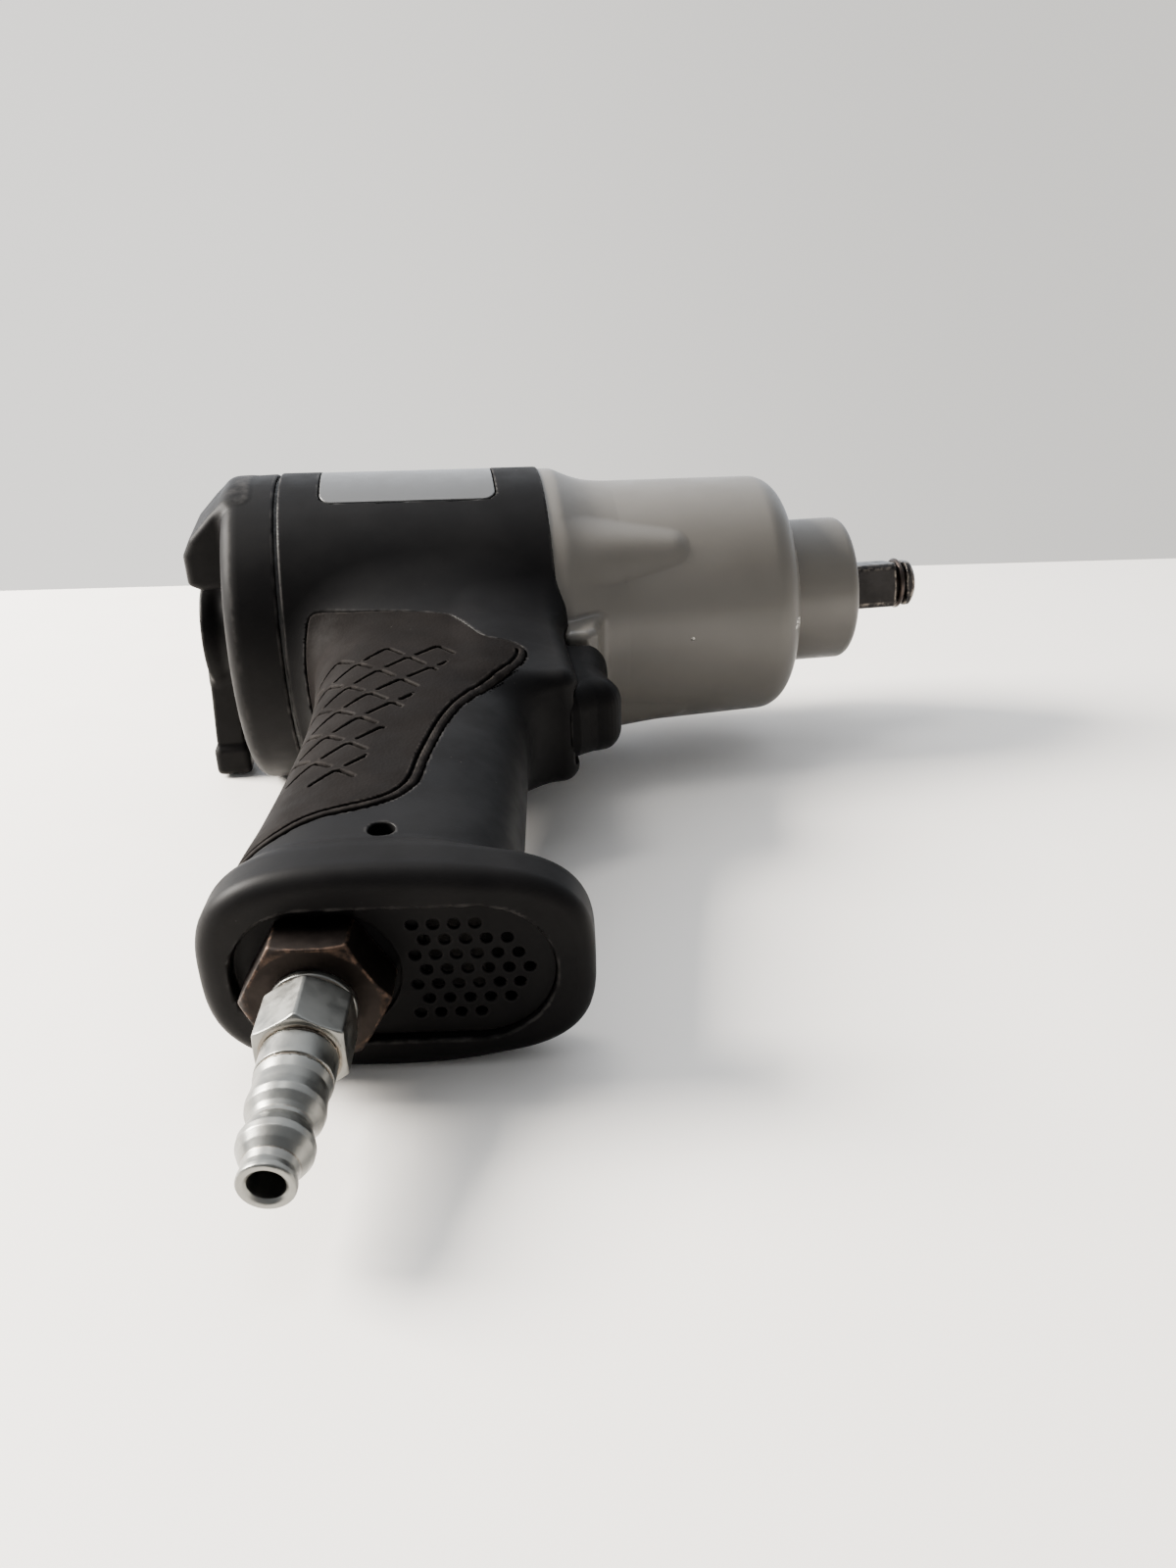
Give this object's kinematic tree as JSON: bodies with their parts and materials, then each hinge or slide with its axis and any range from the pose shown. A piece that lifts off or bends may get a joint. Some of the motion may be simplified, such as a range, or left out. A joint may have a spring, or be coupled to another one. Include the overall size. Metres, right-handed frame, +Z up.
{
  "type": "impact wrench",
  "caption": "Pistol-grip air impact wrench with a square drive, rubber grip, trigger, rear direction lever and a quick-connect air plug.",
  "frame": {"origin": "on the surface the tool lies on, under the centre of its outline", "axes": "+X forward along the barrel and the square drive, +Z up, the handle pointing towards -Y and leaning slightly down; the tool lies on its left side"},
  "size_m": [0.2064, 0.2486, 0.0834],
  "materials": {
    "black_composite": "satin moulded glass-filled nylon",
    "trigger_plastic": "satin moulded plastic",
    "grip_rubber": "matt overmoulded rubber with cut grooves",
    "grey_paint": "satin warm grey enamel on cast aluminium",
    "badge": "smooth blank badge",
    "black_steel": "black oxide, worn on the corners",
    "spring_steel": "hardened spring steel",
    "machined_steel": "ground steel",
    "zinc_plate": "bright zinc plate, slightly tarnished",
    "bronze": "sintered bronze",
    "seal_rubber": "nitrile",
    "blade_resin": "cloth-filled phenolic",
    "filter": "felt and fine mesh"
  },
  "bodies": {
    "tool": {"motor_housing": "black_composite", "rear_cover": "black_composite", "hammer_case": "grey_paint", "label_plate_right": "badge", "label_plate_left": "badge", "rear_gasket": "seal_rubber", "front_gasket": "seal_rubber", "case_screw_1": "black_steel", "case_screw_2": "black_steel", "case_screw_3": "black_steel", "case_screw_4": "black_steel", "anvil_bushing": "bronze", "motor_cylinder": "machined_steel", "rear_end_plate": "machined_steel", "front_end_plate": "machined_steel", "rear_bearing": "spring_steel", "front_bearing": "spring_steel", "cylinder_dowel": "spring_steel", "throttle_seat": "bronze", "valve_spring": "spring_steel", "spring_seat": "bronze", "inlet_screen": "filter", "inlet_bushing": "black_steel", "bushing_pin": "black_steel", "air_plug": "zinc_plate", "exhaust_silencer": "filter", "exhaust_deflector": "black_composite", "grip_overmold": "grip_rubber"},
    "anvil_body": {"anvil": "black_steel", "friction_ring": "spring_steel"},
    "rotor_body": {"rotor": "machined_steel", "rotor_blade_1": "blade_resin", "rotor_blade_2": "blade_resin", "rotor_blade_3": "blade_resin", "rotor_blade_4": "blade_resin", "rotor_blade_5": "blade_resin", "rotor_blade_6": "blade_resin", "hammer_cage": "machined_steel", "hammer_pin_1": "spring_steel", "hammer_pin_2": "spring_steel"},
    "rear_hammer_body": {"rear_hammer": "spring_steel"},
    "front_hammer_body": {"front_hammer": "spring_steel"},
    "trigger_body": {"trigger": "trigger_plastic", "trigger_stem": "machined_steel"},
    "valve_body": {"throttle_valve": "bronze"},
    "lever_body": {"direction_lever": "black_composite", "lever_screw": "black_steel", "reverse_valve": "bronze"}
  },
  "joints": [
    {"name": "anvil_spin", "type": "hinge", "parent": "tool", "child": "anvil_body", "pos_m": [-0.0058, 0.08254, 0.04171], "axis": [1, 0, 0], "continuous": true},
    {"name": "rotor_spin", "type": "hinge", "parent": "tool", "child": "rotor_body", "pos_m": [-0.0058, 0.08254, 0.04171], "axis": [1, 0, 0], "continuous": true},
    {"name": "rear_hammer_swing", "type": "hinge", "parent": "rotor_body", "child": "rear_hammer_body", "pos_m": [-0.0058, 0.10188, 0.04428], "axis": [1, 0, 0], "range_deg": [-2.5, 2.5]},
    {"name": "front_hammer_swing", "type": "hinge", "parent": "rotor_body", "child": "front_hammer_body", "pos_m": [-0.0058, 0.06321, 0.03915], "axis": [1, 0, 0], "range_deg": [-2.5, 2.5]},
    {"name": "trigger_pull", "type": "slide", "parent": "tool", "child": "trigger_body", "axis": [-1, 0, 0], "range_m": [0, 0.006], "stiffness_N_per_m": 1500, "springref_m": -0.002},
    {"name": "throttle_tilt", "type": "hinge", "parent": "tool", "child": "valve_body", "pos_m": [-0.04701, -0.00688, 0.02986], "axis": [0, -0.1314, 0.9913], "range_deg": [0, 12.5]},
    {"name": "direction_turn", "type": "hinge", "parent": "tool", "child": "lever_body", "pos_m": [-0.0958, 0.08254, 0.04171], "axis": [1, 0, 0], "range_deg": [-35, 35]}
  ],
  "couplings": [
    {"joint": "throttle_tilt", "follows": "trigger_pull", "rad_per_m": 36}
  ]
}
